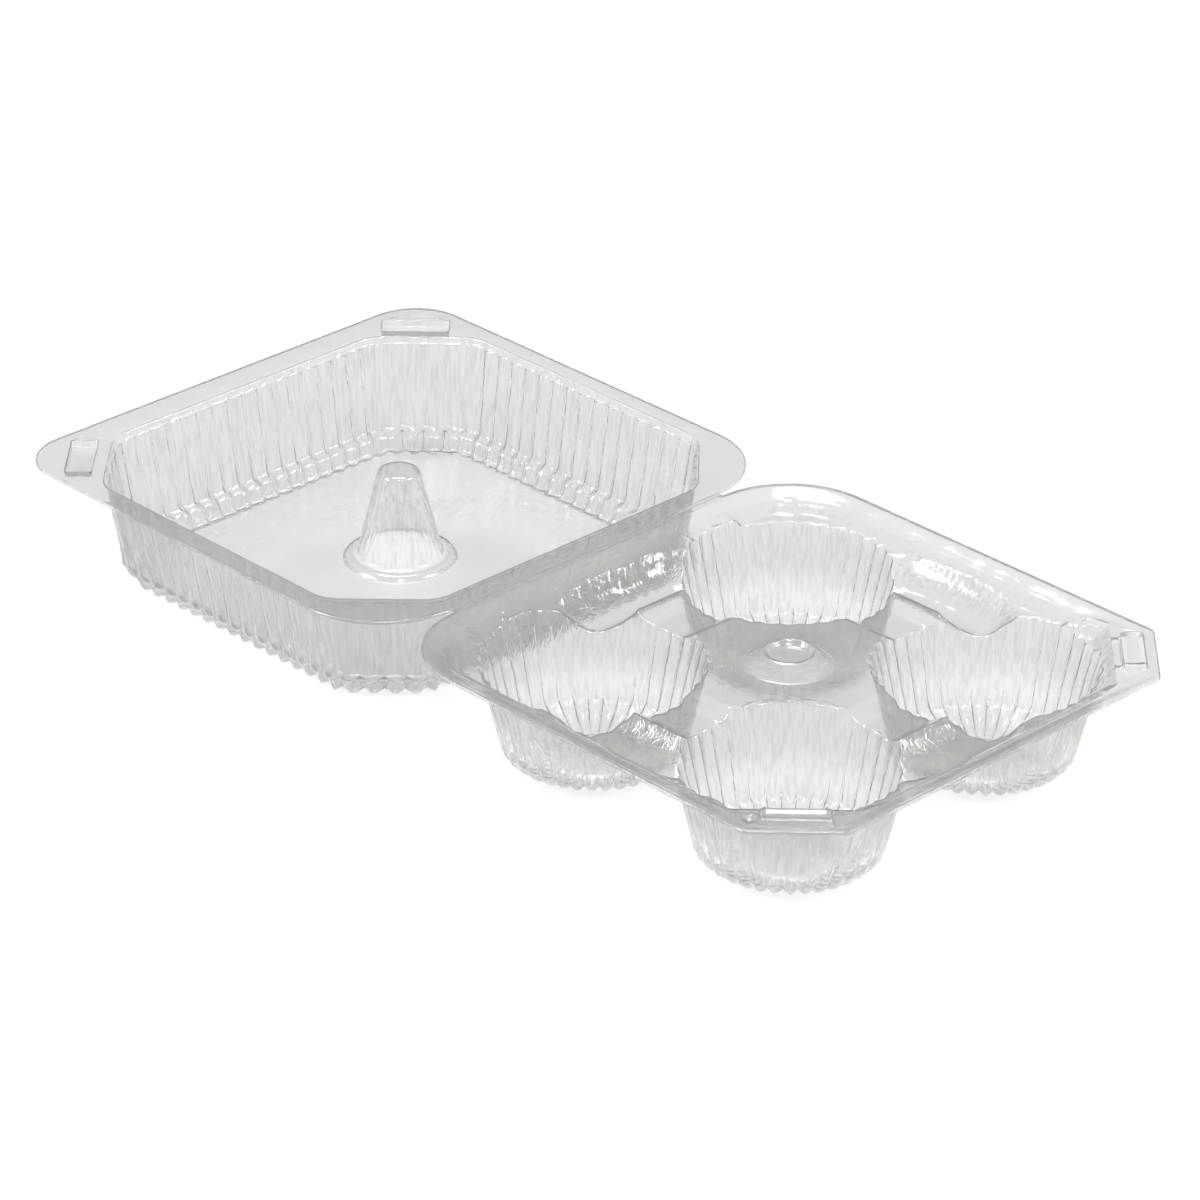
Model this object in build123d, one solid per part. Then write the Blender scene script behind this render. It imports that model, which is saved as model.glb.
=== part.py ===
from build123d import *
from math import cos, pi, sin, sqrt
import os

# A clear clamshell pack for four large round cakes, thermoformed from one sheet.
# It lies open and flat: the hinge line is the X axis, the base is towards -Y and the lid
# towards +Y. Z is up, and the lowest formed feet of both halves stand on Z = 0. Millimetres.

# Sheet and outline
SHEET = 0.4  # wall of the formed sheet
WIDTH = 190.0  # along the hinge
DEPTH = 190.0  # each half, from the hinge to its front edge
HINGE_CORNER = 33.0  # corner radius beside the hinge, both halves
LID_CORNER = 20.0  # front corner radius of the lid
BASE_CHAMFER = 23.0  # front corner chamfer of the base, each way
CLOSING_GAP = 0.6  # between the two rims when shut
HINGE_HALF = 1.0  # half the width of the hinge film
FILM = 0.3  # thickness of the hinge film
FILM_CLEARANCE = 0.3  # from the film to the lid, which turns past it

# Base: rim, shelf and cups
CUP_DEPTH = 42.0  # from the rim's top face to the foot of a cup
LEDGE_WIDTH = 7.0  # flat rim round the base
RISER_RUN = 2.0  # sideways run of the step inside the rim
SHELF_DROP = 5.5  # rim's top face to the shelf and the deck
LATCH_LEDGE = 14.5  # width of the rim across a front corner
CUP_SPACING = 90.0
CUP_SHIFT = 1.5  # the cups sit this much nearer the hinge than the middle
CUP_TOP_RADIUS = 37.0
CUP_FOOT_RADIUS = 30.2  # where the wall ends and the foot starts to turn in
CUP_FOOT_HEIGHT = 7.5
CUP_FLAT_RADIUS = 17.0  # flat ring that the cup stands on
CUP_FLUTES = 36
CUP_FLUTE_DEPTH = 0.9

# Base: the deck and the troughs between neighbouring cups, distances from the deck's middle
DECK_HALF = 35.0
SADDLE_NEAR = 41.0
SADDLE_FAR = 54.0
SADDLE_DROP = 9.0  # below the rim's top face
CREST = 60.5  # as high as the shelf
POCKET_MIDDLE = 71.0
POCKET_DROP = 14.0
POCKET_OUT = 81.5
POCKET_HALF = 34.0  # half the length of a trough along its side
BOSS_FOOT_RADIUS = 14.9
BOSS_TOP_RADIUS = 8.6
BOSS_HEIGHT = 4.3
BOSS_DIMPLE_RADIUS = 6.5
BOSS_DIMPLE_DEPTH = 2.0

# Latches: raised buttons on the base, recesses in the lid
LATCH_LENGTH = 23.0
LATCH_WIDTH = 8.0
LATCH_HEIGHT = 2.2
LATCH_INSET = 8.0  # from the chamfered edge to the middle of the button
LATCH_CLEARANCE = 0.6

# Lid
LID_DEPTH = 42.0  # from the rim's top face to the feet of the wall
LID_RIM = 7.6  # rim on the sides and by the hinge
LID_FRONT_RIM = 12.4
LID_STEP = 2.3  # drop from the rim to the top of the flutes
LID_STEP_RUN = 0.9
WALL_CHAMFER = 27.0
WALL_DRAFT_RUN = 5.0  # sideways run of the fluted wall
WALL_STRAIGHT = 32.0  # below the rim, where the wall starts to turn in
FOOT_RUN = 11.0  # rim's inner edge to the foot line, sideways
PLATEAU_RUN = 17.0  # rim's inner edge to the edge of the roof, sideways
ROOF_DROP = 38.0
LID_FLUTE_PITCH = 7.2
LID_FLUTE_DEPTH = 1.1
POST_TOP_RADIUS = 6.8
POST_FOOT_RADIUS = 14.6
POST_HEIGHT = 34.0
POST_RING_RADIUS = 20.0
POST_RING_HEIGHT = 2.0

RIM_TOP = CUP_DEPTH
RIM_UNDER = RIM_TOP - SHEET
BASE_NEAR = -HINGE_HALF
BASE_FAR = -HINGE_HALF - DEPTH
BASE_MID_Y = (BASE_NEAR + BASE_FAR) / 2 + CUP_SHIFT
LID_NEAR = HINGE_HALF
LID_FAR = HINGE_HALF + DEPTH
LID_MID_Y = (LID_NEAR + LID_FAR) / 2
HALF = WIDTH / 2
SHELF_TOP = RIM_TOP - SHELF_DROP
STEP_INSET = LEDGE_WIDTH + RISER_RUN  # from the outer edge to the foot of the riser


def prism(outline, low, high):
    """Straight solid between two heights over a flat outline at Z = 0."""
    return extrude(outline.moved(Location((0, 0, low))), amount=high - low)


def without(solid, cutters):
    for cutter in cutters:
        solid = solid - cutter
    return solid


def polygon_face(points, height):
    corners = [(x, y, height) for x, y in points]
    return Face(Wire.make_polygon(corners, close=True))


def hull(levels):
    """Solid through flat polygons of equal point count, given from top to bottom."""
    parts = []
    for (top_z, top), (low_z, low) in zip(levels, levels[1:]):
        parts.append(loft([polygon_face(top, top_z), polygon_face(low, low_z)], ruled=True))
    solid = parts[0]
    for part in parts[1:]:
        solid = solid + part
    return solid


def half_outline(inset, front_corner, chamfered):
    """Outline of one half as a lid, from its hinge edge to its front edge, set in all round."""
    half = HALF - inset
    near = LID_NEAR + inset
    far = LID_FAR - inset
    r = HINGE_CORNER - inset
    c = front_corner
    side_far = far - c
    lines = [Line((-half + r, near), (half - r, near))]
    lines.append(RadiusArc((half - r, near), (half, near + r), -r))
    lines.append(Line((half, near + r), (half, side_far)))
    if chamfered:
        lines.append(Line((half, side_far), (half - c, far)))
    else:
        lines.append(RadiusArc((half, side_far), (half - c, far), -c))
    lines.append(Line((half - c, far), (-half + c, far)))
    if chamfered:
        lines.append(Line((-half + c, far), (-half, side_far)))
    else:
        lines.append(RadiusArc((-half + c, far), (-half, side_far), -c))
    lines.append(Line((-half, side_far), (-half, near + r)))
    lines.append(RadiusArc((-half, near + r), (-half + r, near), -r))
    return make_face(Wire(Curve() + lines))


def base_outline(inset, chamfer):
    return mirror(half_outline(inset, chamfer, True), about=Plane.XZ)


def step_outline(inset):
    """Outline of the step inside the base's rim, further in across the front corners."""
    wide = sqrt(2) * (LATCH_LEDGE + inset - LEDGE_WIDTH)
    return base_outline(inset, BASE_CHAMFER + wide - 2 * inset)


def frustum(upper, upper_z, lower, lower_z):
    """Solid between two outlines of the same kind at two heights."""
    top = upper.moved(Location((0, 0, upper_z)))
    low = lower.moved(Location((0, 0, lower_z)))
    return loft([top, low], ruled=True)


def cup_centres():
    reach = CUP_SPACING / 2
    names = {"rear_left": (-1, 1), "rear_right": (1, 1), "front_left": (-1, -1), "front_right": (1, -1)}
    return {name: (sx * reach, BASE_MID_Y + sy * reach) for name, (sx, sy) in names.items()}


def star(radius, inset=0.0):
    """Fluted ring about the origin: the ridges stand out by the flute depth."""
    points = []
    for k in range(2 * CUP_FLUTES):
        reach = radius - inset + (CUP_FLUTE_DEPTH if k % 2 else 0.0)
        turn = pi * k / CUP_FLUTES
        points.append((reach * cos(turn), reach * sin(turn)))
    return points


def cup_hull(inset):
    """Outside of a cup with inset 0, its hollow with inset of one sheet."""
    levels = [(SHELF_TOP, star(CUP_TOP_RADIUS, inset))]
    for turn in (0, pi / 6, pi / 3, pi / 2):
        reach = CUP_FLAT_RADIUS + (CUP_FOOT_RADIUS - CUP_FLAT_RADIUS - inset) * cos(turn)
        height = CUP_FOOT_HEIGHT - (CUP_FOOT_HEIGHT - inset) * sin(turn)
        levels.append((height, star(reach)))
    return hull(levels)


def make_cup():
    return cup_hull(0.0) - cup_hull(SHEET)


def trough_profile():
    """Side view of the sheet from the deck out to the step: distance from the middle, height."""
    return [
        (DECK_HALF, SHELF_TOP),
        (SADDLE_NEAR, RIM_TOP - SADDLE_DROP),
        (SADDLE_FAR, RIM_TOP - SADDLE_DROP),
        (CREST, SHELF_TOP),
        (POCKET_MIDDLE, RIM_TOP - POCKET_DROP),
        (POCKET_OUT, SHELF_TOP),
    ]


def make_trough():
    """Bent strip along +X from the middle, before it is turned to its side."""
    top = trough_profile()
    under = [(x, z - SHEET) for x, z in reversed(top)]
    side = make_face(Wire.make_polygon([(x, 0, z) for x, z in top + under], close=True))
    return extrude(side, amount=POCKET_HALF, dir=(0, 1, 0), both=True)


def make_troughs(hulls):
    """The four bent strips between neighbouring cups, keyed by the side they lie on."""
    turns = {"right": 0, "rear": 90, "left": 180, "front": 270}
    result = {}
    for name, turn in turns.items():
        strip = Pos(0, BASE_MID_Y, 0) * Rot(0, 0, turn) * make_trough()
        result[name] = without(strip, hulls)
    return result


def make_deck(hulls):
    """Centre deck between the four cups, open in the middle for the boss."""
    plate = Pos(0, BASE_MID_Y, 0) * Rectangle(2 * DECK_HALF, 2 * DECK_HALF)
    hole = Pos(0, BASE_MID_Y, 0) * Circle(BOSS_FOOT_RADIUS)
    return without(prism(plate - hole, SHELF_TOP - SHEET, SHELF_TOP), hulls)


def make_shelf(hulls):
    """Shelf round the cups, from the foot of the step in to the cups and the troughs."""
    area = step_outline(STEP_INSET)
    middle = Pos(0, BASE_MID_Y, 0)
    area = area - middle * Rectangle(2 * POCKET_OUT, 2 * POCKET_HALF)
    area = area - middle * Rectangle(2 * POCKET_HALF, 2 * POCKET_OUT)
    area = area - middle * Rectangle(2 * DECK_HALF, 2 * DECK_HALF)
    return without(prism(area, SHELF_TOP - SHEET, SHELF_TOP), hulls)


def make_base_rim(latches):
    """Flat rim with the step down to the shelf; the latch buttons' places are left open."""
    low = SHELF_TOP - SHEET
    outside = frustum(step_outline(LEDGE_WIDTH - SHEET), RIM_TOP, step_outline(STEP_INSET - SHEET), low)
    inside = frustum(step_outline(LEDGE_WIDTH), RIM_TOP, step_outline(STEP_INSET), low)
    rim = prism(base_outline(0, BASE_CHAMFER), RIM_UNDER, RIM_TOP)
    rim = rim + outside
    return without(rim - inside, latches)


def make_boss():
    """Hollow round boss with a dished top, which the lid's post stands over."""
    top = SHELF_TOP + BOSS_HEIGHT
    foot = SHELF_TOP - SHEET
    dimple = top - BOSS_DIMPLE_DEPTH
    points = [
        (BOSS_FOOT_RADIUS, foot),
        (BOSS_FOOT_RADIUS, SHELF_TOP),
        (BOSS_TOP_RADIUS, top),
        (BOSS_DIMPLE_RADIUS + SHEET, top),
        (BOSS_DIMPLE_RADIUS, dimple),
        (0, dimple),
        (0, dimple - SHEET),
        (BOSS_DIMPLE_RADIUS + SHEET / 2, dimple - SHEET),
        (BOSS_DIMPLE_RADIUS + 2 * SHEET, top - SHEET),
        (BOSS_TOP_RADIUS - SHEET / 2, top - SHEET),
        (BOSS_FOOT_RADIUS - 2 * SHEET, foot),
    ]
    side = make_face(Wire.make_polygon([(r, 0, z) for r, z in points], close=True))
    return Pos(0, BASE_MID_Y, 0) * revolve(side, axis=Axis.Z, revolution_arc=360)


def latch_place(y_edge, inward):
    """Middle of a front corner's latch, and its turn, for the right-hand corner."""
    reach = (BASE_CHAMFER / sqrt(2) + LATCH_INSET) / sqrt(2)
    return Pos(HALF - reach, y_edge + inward * reach, 0) * Rot(0, 0, 45 * inward)


def make_button():
    """Hollow raised button about the origin, as long as the chamfer allows."""
    height = LATCH_HEIGHT + SHEET
    block = Box(LATCH_LENGTH, LATCH_WIDTH, height)
    hollow = Pos(0, 0, -SHEET) * Box(LATCH_LENGTH - 2 * SHEET, LATCH_WIDTH - 2 * SHEET, height)
    return Pos(0, 0, RIM_UNDER + height / 2) * (block - hollow)


def button_room():
    return Pos(0, 0, RIM_TOP) * Box(LATCH_LENGTH, LATCH_WIDTH, 4 * SHEET)


def recess_size():
    grow = 2 * (LATCH_CLEARANCE + SHEET)
    depth = LATCH_HEIGHT + LATCH_CLEARANCE + SHEET
    return LATCH_LENGTH + grow, LATCH_WIDTH + grow, depth


def make_recess():
    """Tub below the lid's rim that the button springs into when the lid is shut."""
    length, width, depth = recess_size()
    tub = Box(length, width, depth)
    hollow = Pos(0, 0, SHEET) * Box(length - 2 * SHEET, width - 2 * SHEET, depth)
    return Pos(0, 0, RIM_TOP - depth / 2) * (tub - hollow)


def recess_room():
    length, width, depth = recess_size()
    return Pos(0, 0, RIM_TOP) * Box(length, width, 2 * depth)


def both_corners(shape, place):
    right = place * shape
    return {"right": right, "left": mirror(right, about=Plane.YZ)}


def wall_corners(run):
    """Corners of the lid's wall in plan, set in from the rim's inner edge by the run."""
    x = HALF - LID_RIM - run
    near = LID_NEAR + LID_RIM + run
    far = LID_FAR - LID_FRONT_RIM - run
    c = WALL_CHAMFER - (2 - sqrt(2)) * run
    return [
        (-x + c, near), (x - c, near), (x, near + c), (x, far - c),
        (x - c, far), (-x + c, far), (-x, far - c), (-x, near + c),
    ]


def wall_ring(run, flute_depth):
    """The wall in plan, with the same flutes on every level so that levels can be joined."""
    sides = wall_corners(0)
    here = wall_corners(run)
    points = []
    for k in range(8):
        full = Vector(*sides[(k + 1) % 8]) - Vector(*sides[k])
        flutes = round(full.length / LID_FLUTE_PITCH)
        start = Vector(*here[k])
        span = Vector(*here[(k + 1) % 8]) - start
        outward = Vector(span.Y, -span.X).normalized()
        for j in range(2 * flutes):
            point = start + span * (j / (2 * flutes)) + outward * (flute_depth if j % 2 else 0.0)
            points.append((point.X, point.Y))
    return points


def wall_hull(inset):
    """Outside of the lid's wall with inset 0, its hollow with an inset of one sheet."""
    levels = [
        (RIM_TOP, wall_ring(inset, 0.0)),
        (RIM_TOP - LID_STEP, wall_ring(LID_STEP_RUN + inset, 0.0)),
        (RIM_TOP - LID_STEP - LID_STEP_RUN, wall_ring(LID_STEP_RUN + inset, LID_FLUTE_DEPTH)),
        (RIM_TOP - WALL_STRAIGHT, wall_ring(LID_STEP_RUN + WALL_DRAFT_RUN + inset, LID_FLUTE_DEPTH)),
        (RIM_TOP - LID_DEPTH + inset, wall_ring(FOOT_RUN + inset, LID_FLUTE_DEPTH)),
    ]
    return hull(levels)


def roof_area():
    return make_face(Wire.make_polygon([(x, y, 0) for x, y in wall_corners(PLATEAU_RUN)], close=True))


def make_lid_wall(outside):
    """Fluted wall, its feet and the band that rises from the feet to the roof's edge."""
    roof_top = RIM_TOP - ROOF_DROP
    low = RIM_TOP - LID_DEPTH
    start = FOOT_RUN + 2.0
    raised = hull([
        (roof_top, wall_ring(PLATEAU_RUN - SHEET, 0.0)),
        (low, wall_ring(start, 0.0)),
    ])
    under = hull([
        (roof_top - SHEET, wall_ring(PLATEAU_RUN, 0.0)),
        (low - SHEET, wall_ring(start + SHEET, 0.0)),
    ])
    shell = outside - (wall_hull(SHEET) - raised) - under
    return shell - prism(roof_area(), low, RIM_TOP)


def make_roof():
    roof_top = RIM_TOP - ROOF_DROP
    hole = Pos(0, LID_MID_Y, 0) * Circle(POST_RING_RADIUS)
    return prism(roof_area() - hole, roof_top - SHEET, roof_top)


def make_post():
    """Hollow conical post on its low round ring, which keeps the lid off the cakes."""
    foot = RIM_TOP - ROOF_DROP
    ring = foot + POST_RING_HEIGHT
    top = foot + POST_HEIGHT
    shoulder = POST_FOOT_RADIUS + 2 * SHEET
    points = [
        (POST_RING_RADIUS, foot - SHEET),
        (POST_RING_RADIUS, foot),
        (shoulder, ring),
        (POST_FOOT_RADIUS, ring),
        (POST_TOP_RADIUS, top),
        (0, top),
        (0, top - SHEET),
        (POST_TOP_RADIUS - SHEET, top - SHEET),
        (POST_FOOT_RADIUS - SHEET, ring - SHEET),
        (shoulder - SHEET / 2, ring - SHEET),
        (POST_RING_RADIUS - 2 * SHEET, foot - SHEET),
    ]
    side = make_face(Wire.make_polygon([(r, 0, z) for r, z in points], close=True))
    return Pos(0, LID_MID_Y, 0) * revolve(side, axis=Axis.Z, revolution_arc=360)


def make_lid_rim(outside, recesses):
    rim = prism(half_outline(0, LID_CORNER, False), RIM_UNDER, RIM_TOP)
    return without(rim - outside, recesses)


def make_hinge():
    """Thin film that bends between the two rims, clear of the lid that turns past it."""
    length = WIDTH - 2 * HINGE_CORNER
    near = BASE_NEAR
    far = LID_NEAR - FILM_CLEARANCE
    strip = Pos(0, (near + far) / 2, 0) * Rectangle(length, far - near)
    top = RIM_TOP - CLOSING_GAP / 2
    return prism(strip, top - FILM, top)


def build():
    """Every named piece of the pack."""
    nodes = {}
    hull_shape = cup_hull(0.0)
    cup_shape = make_cup()
    hulls = []
    for name, (x, y) in cup_centres().items():
        hulls.append(Pos(x, y, 0) * hull_shape)
        nodes[f"cup_{name}"] = Pos(x, y, 0) * cup_shape
    base_latch = latch_place(BASE_FAR, 1)
    lid_latch = latch_place(LID_FAR, -1)
    for side, strip in make_troughs(hulls).items():
        nodes[f"trough_{side}"] = strip
    nodes["base_deck"] = make_deck(hulls)
    nodes["base_shelf"] = make_shelf(hulls)
    nodes["base_boss"] = make_boss()
    nodes["base_rim"] = make_base_rim(both_corners(button_room(), base_latch).values())
    for side, button in both_corners(make_button(), base_latch).items():
        nodes[f"latch_button_{side}"] = button
    nodes["hinge_film"] = make_hinge()
    outside = wall_hull(0.0)
    nodes["lid_wall"] = make_lid_wall(outside)
    nodes["lid_roof"] = make_roof()
    nodes["lid_post"] = make_post()
    nodes["lid_rim"] = make_lid_rim(outside, both_corners(recess_room(), lid_latch).values())
    for side, recess in both_corners(make_recess(), lid_latch).items():
        nodes[f"latch_recess_{side}"] = recess
    return nodes


os.makedirs("parts", exist_ok=True)
for node, shape in build().items():
    export_step(shape, f"parts/{node}.step")
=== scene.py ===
from math import cos, pi, radians, sin, sqrt, tan

import bmesh
import bpy
import numpy as np
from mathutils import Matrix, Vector
from mathutils.geometry import delaunay_2d_cdt


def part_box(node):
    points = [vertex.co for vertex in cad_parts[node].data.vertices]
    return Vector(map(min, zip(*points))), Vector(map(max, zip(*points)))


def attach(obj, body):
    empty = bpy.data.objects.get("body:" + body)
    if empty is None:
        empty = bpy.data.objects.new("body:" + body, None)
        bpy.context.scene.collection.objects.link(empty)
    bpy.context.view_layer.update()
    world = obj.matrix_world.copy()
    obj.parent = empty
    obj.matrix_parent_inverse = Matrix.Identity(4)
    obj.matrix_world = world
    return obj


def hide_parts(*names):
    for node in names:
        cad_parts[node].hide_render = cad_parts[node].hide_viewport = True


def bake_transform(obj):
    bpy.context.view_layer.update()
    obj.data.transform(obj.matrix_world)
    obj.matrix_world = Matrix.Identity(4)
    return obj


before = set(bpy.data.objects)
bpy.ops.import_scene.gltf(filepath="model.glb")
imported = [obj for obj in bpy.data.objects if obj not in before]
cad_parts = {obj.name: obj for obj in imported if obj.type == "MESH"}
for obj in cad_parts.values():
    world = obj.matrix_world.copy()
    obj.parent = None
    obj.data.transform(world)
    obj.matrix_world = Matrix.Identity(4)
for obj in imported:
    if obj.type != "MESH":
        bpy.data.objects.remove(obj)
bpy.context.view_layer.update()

bl_info = {
    "name": "Clear clamshell cake pack",
    "version": (1, 0, 0),
    "blender": (4, 5, 0),
    "location": "View3D > Sidebar > Cake pack",
    "description": "Formed tray, formed lid and hinge crease of a clear four-cake clamshell",
    "category": "Object",
}

# The formed halves are drawn in millimetres. Heights are measured from the rim's top face,
# and each half is drawn with its hinge edge on Y = 0 and its front edge at +Y.
MM = 0.001
RIM_LOW, RIM_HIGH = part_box("base_rim")
RIM_Z = RIM_HIGH.z / MM
HALF = RIM_HIGH.x / MM  # half the width of the pack
HINGE_GAP = -RIM_HIGH.y / MM  # from the middle of the hinge to each half
DEPTH = (RIM_HIGH.y - RIM_LOW.y) / MM  # of one half, from its hinge edge to its front edge
HINGE_R = 33.0  # corner radius beside the hinge
HINGE_END = HALF - HINGE_R  # end of the straight hinge edge
RIM_EDGE = ((0.0, -1.0), (0.1, -0.55), (0.3, -0.2), (0.6, -0.03), (1.0, 0.0))  # (run in, height)
CREASE_Z = -0.02  # the rims thin slightly where they meet the crease


def middle(node):
    low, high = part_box(node)
    return (low + high) / 2 / MM


TRAY_MID = -middle("base_boss").y - HINGE_GAP  # middle of the deck, from the hinge edge
POST_MID = middle("lid_post").y - HINGE_GAP
CUP_REACH = middle("cup_rear_right").x

TRAY_NODES = sorted(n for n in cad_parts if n.startswith(("base_", "trough_", "cup_", "latch_button")))
LID_NODES = sorted(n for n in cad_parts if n.startswith(("lid_", "latch_recess")))


# ---------------------------------------------------------------- sizes and colours

class PackSizes(bpy.types.PropertyGroup):
    sheet: bpy.props.FloatProperty(
        name="Sheet", description="Thickness of the formed sheet", default=0.0004, unit="LENGTH")
    film: bpy.props.FloatProperty(
        name="Crease", description="Thickness of the hinge crease", default=0.0003, unit="LENGTH")
    cup_flutes: bpy.props.IntProperty(
        name="Cup flutes", description="Flutes round each cup", default=36, min=12)
    cup_flute_depth: bpy.props.FloatProperty(
        name="Cup flute depth", description="How far a cup's flutes bulge", default=0.0009, unit="LENGTH")
    lid_flute_pitch: bpy.props.FloatProperty(
        name="Lid flute pitch", description="Width of a flute in the lid's wall",
        default=0.0072, unit="LENGTH")
    lid_flute_depth: bpy.props.FloatProperty(
        name="Lid flute depth", description="How far the lid's flutes bulge", default=0.0011, unit="LENGTH")
    button_height: bpy.props.FloatProperty(
        name="Latch button", description="Height of a latch button", default=0.002, unit="LENGTH")


class PackFinish(bpy.types.PropertyGroup):
    rim_tint: bpy.props.FloatVectorProperty(
        name="Rim tint", description="Colour of light through the rims",
        subtype="COLOR", size=3, default=(0.84, 0.837, 0.822), min=0, max=1)
    # Painted shade: the deck is tinted darker than the rim, though it has the same gauge, for the cups'
    # shadow on the floor seen through it.
    deck_shade_tint: bpy.props.FloatVectorProperty(
        name="Deck tint", description="Colour of light through the thick flats between the cups",
        subtype="COLOR", size=3, default=(0.80, 0.797, 0.782), min=0, max=1)
    # Painted shade: the walls are tinted darker than the feet, for the pack's shadow on the floor seen
    # through them. On the lid the slopes take this tint too.
    wall_shade_tint: bpy.props.FloatVectorProperty(
        name="Wall tint", description="Colour of light through the fluted walls",
        subtype="COLOR", size=3, default=(0.77, 0.767, 0.752), min=0, max=1)
    # The lighter end of the painted shade by height: the feet and the lid's roof are tinted lighter than the
    # deck and walls.
    foot_tint: bpy.props.FloatVectorProperty(
        name="Foot tint", description="Colour of light through the feet and the lid's roof",
        subtype="COLOR", size=3, default=(0.90, 0.897, 0.882), min=0, max=1)
    centre_tint: bpy.props.FloatVectorProperty(
        name="Centre tint", description="Colour of light through the post, the boss and the buttons",
        subtype="COLOR", size=3, default=(0.96, 0.958, 0.95), min=0, max=1)
    crease_tint: bpy.props.FloatVectorProperty(
        name="Crease tint", description="Colour of light through the stretched crease",
        subtype="COLOR", size=3, default=(0.84, 0.845, 0.84), min=0, max=1)
    shadow_tint: bpy.props.FloatVectorProperty(
        name="Shadow tint", description="Colour of lamp light after one face of the sheet",
        subtype="COLOR", size=3, default=(0.955, 0.955, 0.955), min=0, max=1)
    smooth: bpy.props.FloatProperty(
        name="Smoothest", description="Roughness where the sheet is glossiest",
        default=0.01, subtype="FACTOR")
    hazy: bpy.props.FloatProperty(
        name="Haziest", description="Roughness where the mould has dulled the sheet",
        default=0.06, subtype="FACTOR")


class StudioLook(bpy.types.PropertyGroup):
    floor_colour: bpy.props.FloatVectorProperty(
        name="Floor", description="Colour of the floor", subtype="COLOR", size=3,
        default=(0.93, 0.93, 0.93), min=0, max=1)
    lamp_power: bpy.props.FloatProperty(
        name="Lamps", description="Strength of the softboxes", default=0.83, min=0)
    sky: bpy.props.FloatProperty(
        name="Room", description="Brightness of the room", default=0.16, min=0)


# ---------------------------------------------------------------- drawing the sheet

class Sheet:
    """The upper face of a formed sheet, gathered in millimetres from strips and filled areas."""

    def __init__(self):
        self.points = []
        self.faces = []

    def strip(self, rows, closed=True):
        """Rows with the same number of points, joined by four-sided faces."""
        start = len(self.points)
        count = len(rows[0])
        for row in rows:
            self.points.extend(tuple(p) for p in row)
        for i in range(len(rows) - 1):
            for j in range(count if closed else count - 1):
                a = start + i * count + j
                b = start + i * count + (j + 1) % count
                self.faces.append((a, b, b + count, a + count))

    def disc(self, ring, centre):
        start = len(self.points)
        self.points.extend(tuple(p) for p in ring)
        self.points.append(tuple(centre))
        for j in range(len(ring)):
            self.faces.append((start + j, start + (j + 1) % len(ring), start + len(ring)))

    def area(self, outer, holes, lines, loose, height):
        """Fill between an outer loop and its holes, through the given lines and loose points."""
        points, edges = [], []
        for loop in [outer, *holes]:
            start = len(points)
            points.extend(loop)
            edges.extend((start + i, start + (i + 1) % len(loop)) for i in range(len(loop)))
        for line in lines:
            start = len(points)
            points.extend(line)
            edges.extend((start + i, start + i + 1) for i in range(len(line) - 1))
        points.extend(loose)
        flat = [Vector((p[0], p[1])) for p in points]
        made = delaunay_2d_cdt(flat, edges, [], 0, 1e-4)
        xy = np.array([tuple(v) for v in made[0]])
        triangles = np.array(made[2])
        mids = xy[triangles].mean(axis=1)
        keep = inside(mids, outer)
        for hole in holes:
            keep &= ~inside(mids, hole)
        start = len(self.points)
        z = height(xy[:, 0], xy[:, 1])
        fixed = {(round(p[0], 3), round(p[1], 3)): p[2] for loop in [outer, *holes] for p in loop}
        for (x, y), level in zip(xy, z):
            level = fixed.get((round(x, 3), round(y, 3)), level)
            self.points.append((x, y, level))
        self.faces.extend(tuple(start + i for i in t) for t in triangles[keep])

    def build(self, name, thickness, place, material):
        """Mesh object of the sheet, given its thickness below the drawn face."""
        mesh = bpy.data.meshes.new(name)
        mesh.from_pydata([place(p) for p in self.points], [], self.faces)
        obj = bpy.data.objects.new(name, mesh)
        bpy.context.scene.collection.objects.link(obj)
        tidy_faces(mesh)
        wall = obj.modifiers.new("sheet thickness", "SOLIDIFY")
        wall.thickness = thickness
        wall.offset = -1
        wall.use_even_offset = False
        return settle(obj, material)


def tidy_faces(mesh):
    """Weld the strips and areas into one surface with every face up or inward."""
    work = bmesh.new()
    work.from_mesh(mesh)
    bmesh.ops.remove_doubles(work, verts=work.verts, dist=4e-6)
    bmesh.ops.dissolve_degenerate(work, edges=work.edges, dist=1e-6)
    bmesh.ops.recalc_face_normals(work, faces=work.faces)
    if sum(face.normal.z * face.calc_area() for face in work.faces) < 0:
        bmesh.ops.reverse_faces(work, faces=work.faces)
    loose = [v for v in work.verts if not v.link_faces]
    bmesh.ops.delete(work, geom=loose, context="VERTS")
    work.to_mesh(mesh)
    work.free()


def settle(obj, material):
    """Apply the object's modifiers, shade it smooth with crisp folds and give it its finish."""
    shown = obj.evaluated_get(bpy.context.evaluated_depsgraph_get())
    mesh = bpy.data.meshes.new_from_object(shown)
    obj.modifiers.clear()
    obj.data = mesh
    mesh.polygons.foreach_set("use_smooth", [True] * len(mesh.polygons))
    mesh.set_sharp_from_angle(angle=radians(48))
    mesh.materials.clear()
    mesh.materials.append(material)
    return obj


def inside(points, loop):
    """Which points lie inside a closed loop, by counting the edges that a ray crosses."""
    ring = np.array([(p[0], p[1]) for p in loop])
    x, y = points[:, 0:1], points[:, 1:2]
    ax, ay = ring[:, 0], ring[:, 1]
    bx, by = np.roll(ax, -1), np.roll(ay, -1)
    crosses = (ay > y) != (by > y)
    slope = np.where(by == ay, 1e-12, by - ay)
    at = ax + (y - ay) / slope * (bx - ax)
    return ((crosses & (x < at)).sum(axis=1) % 2) == 1


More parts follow.
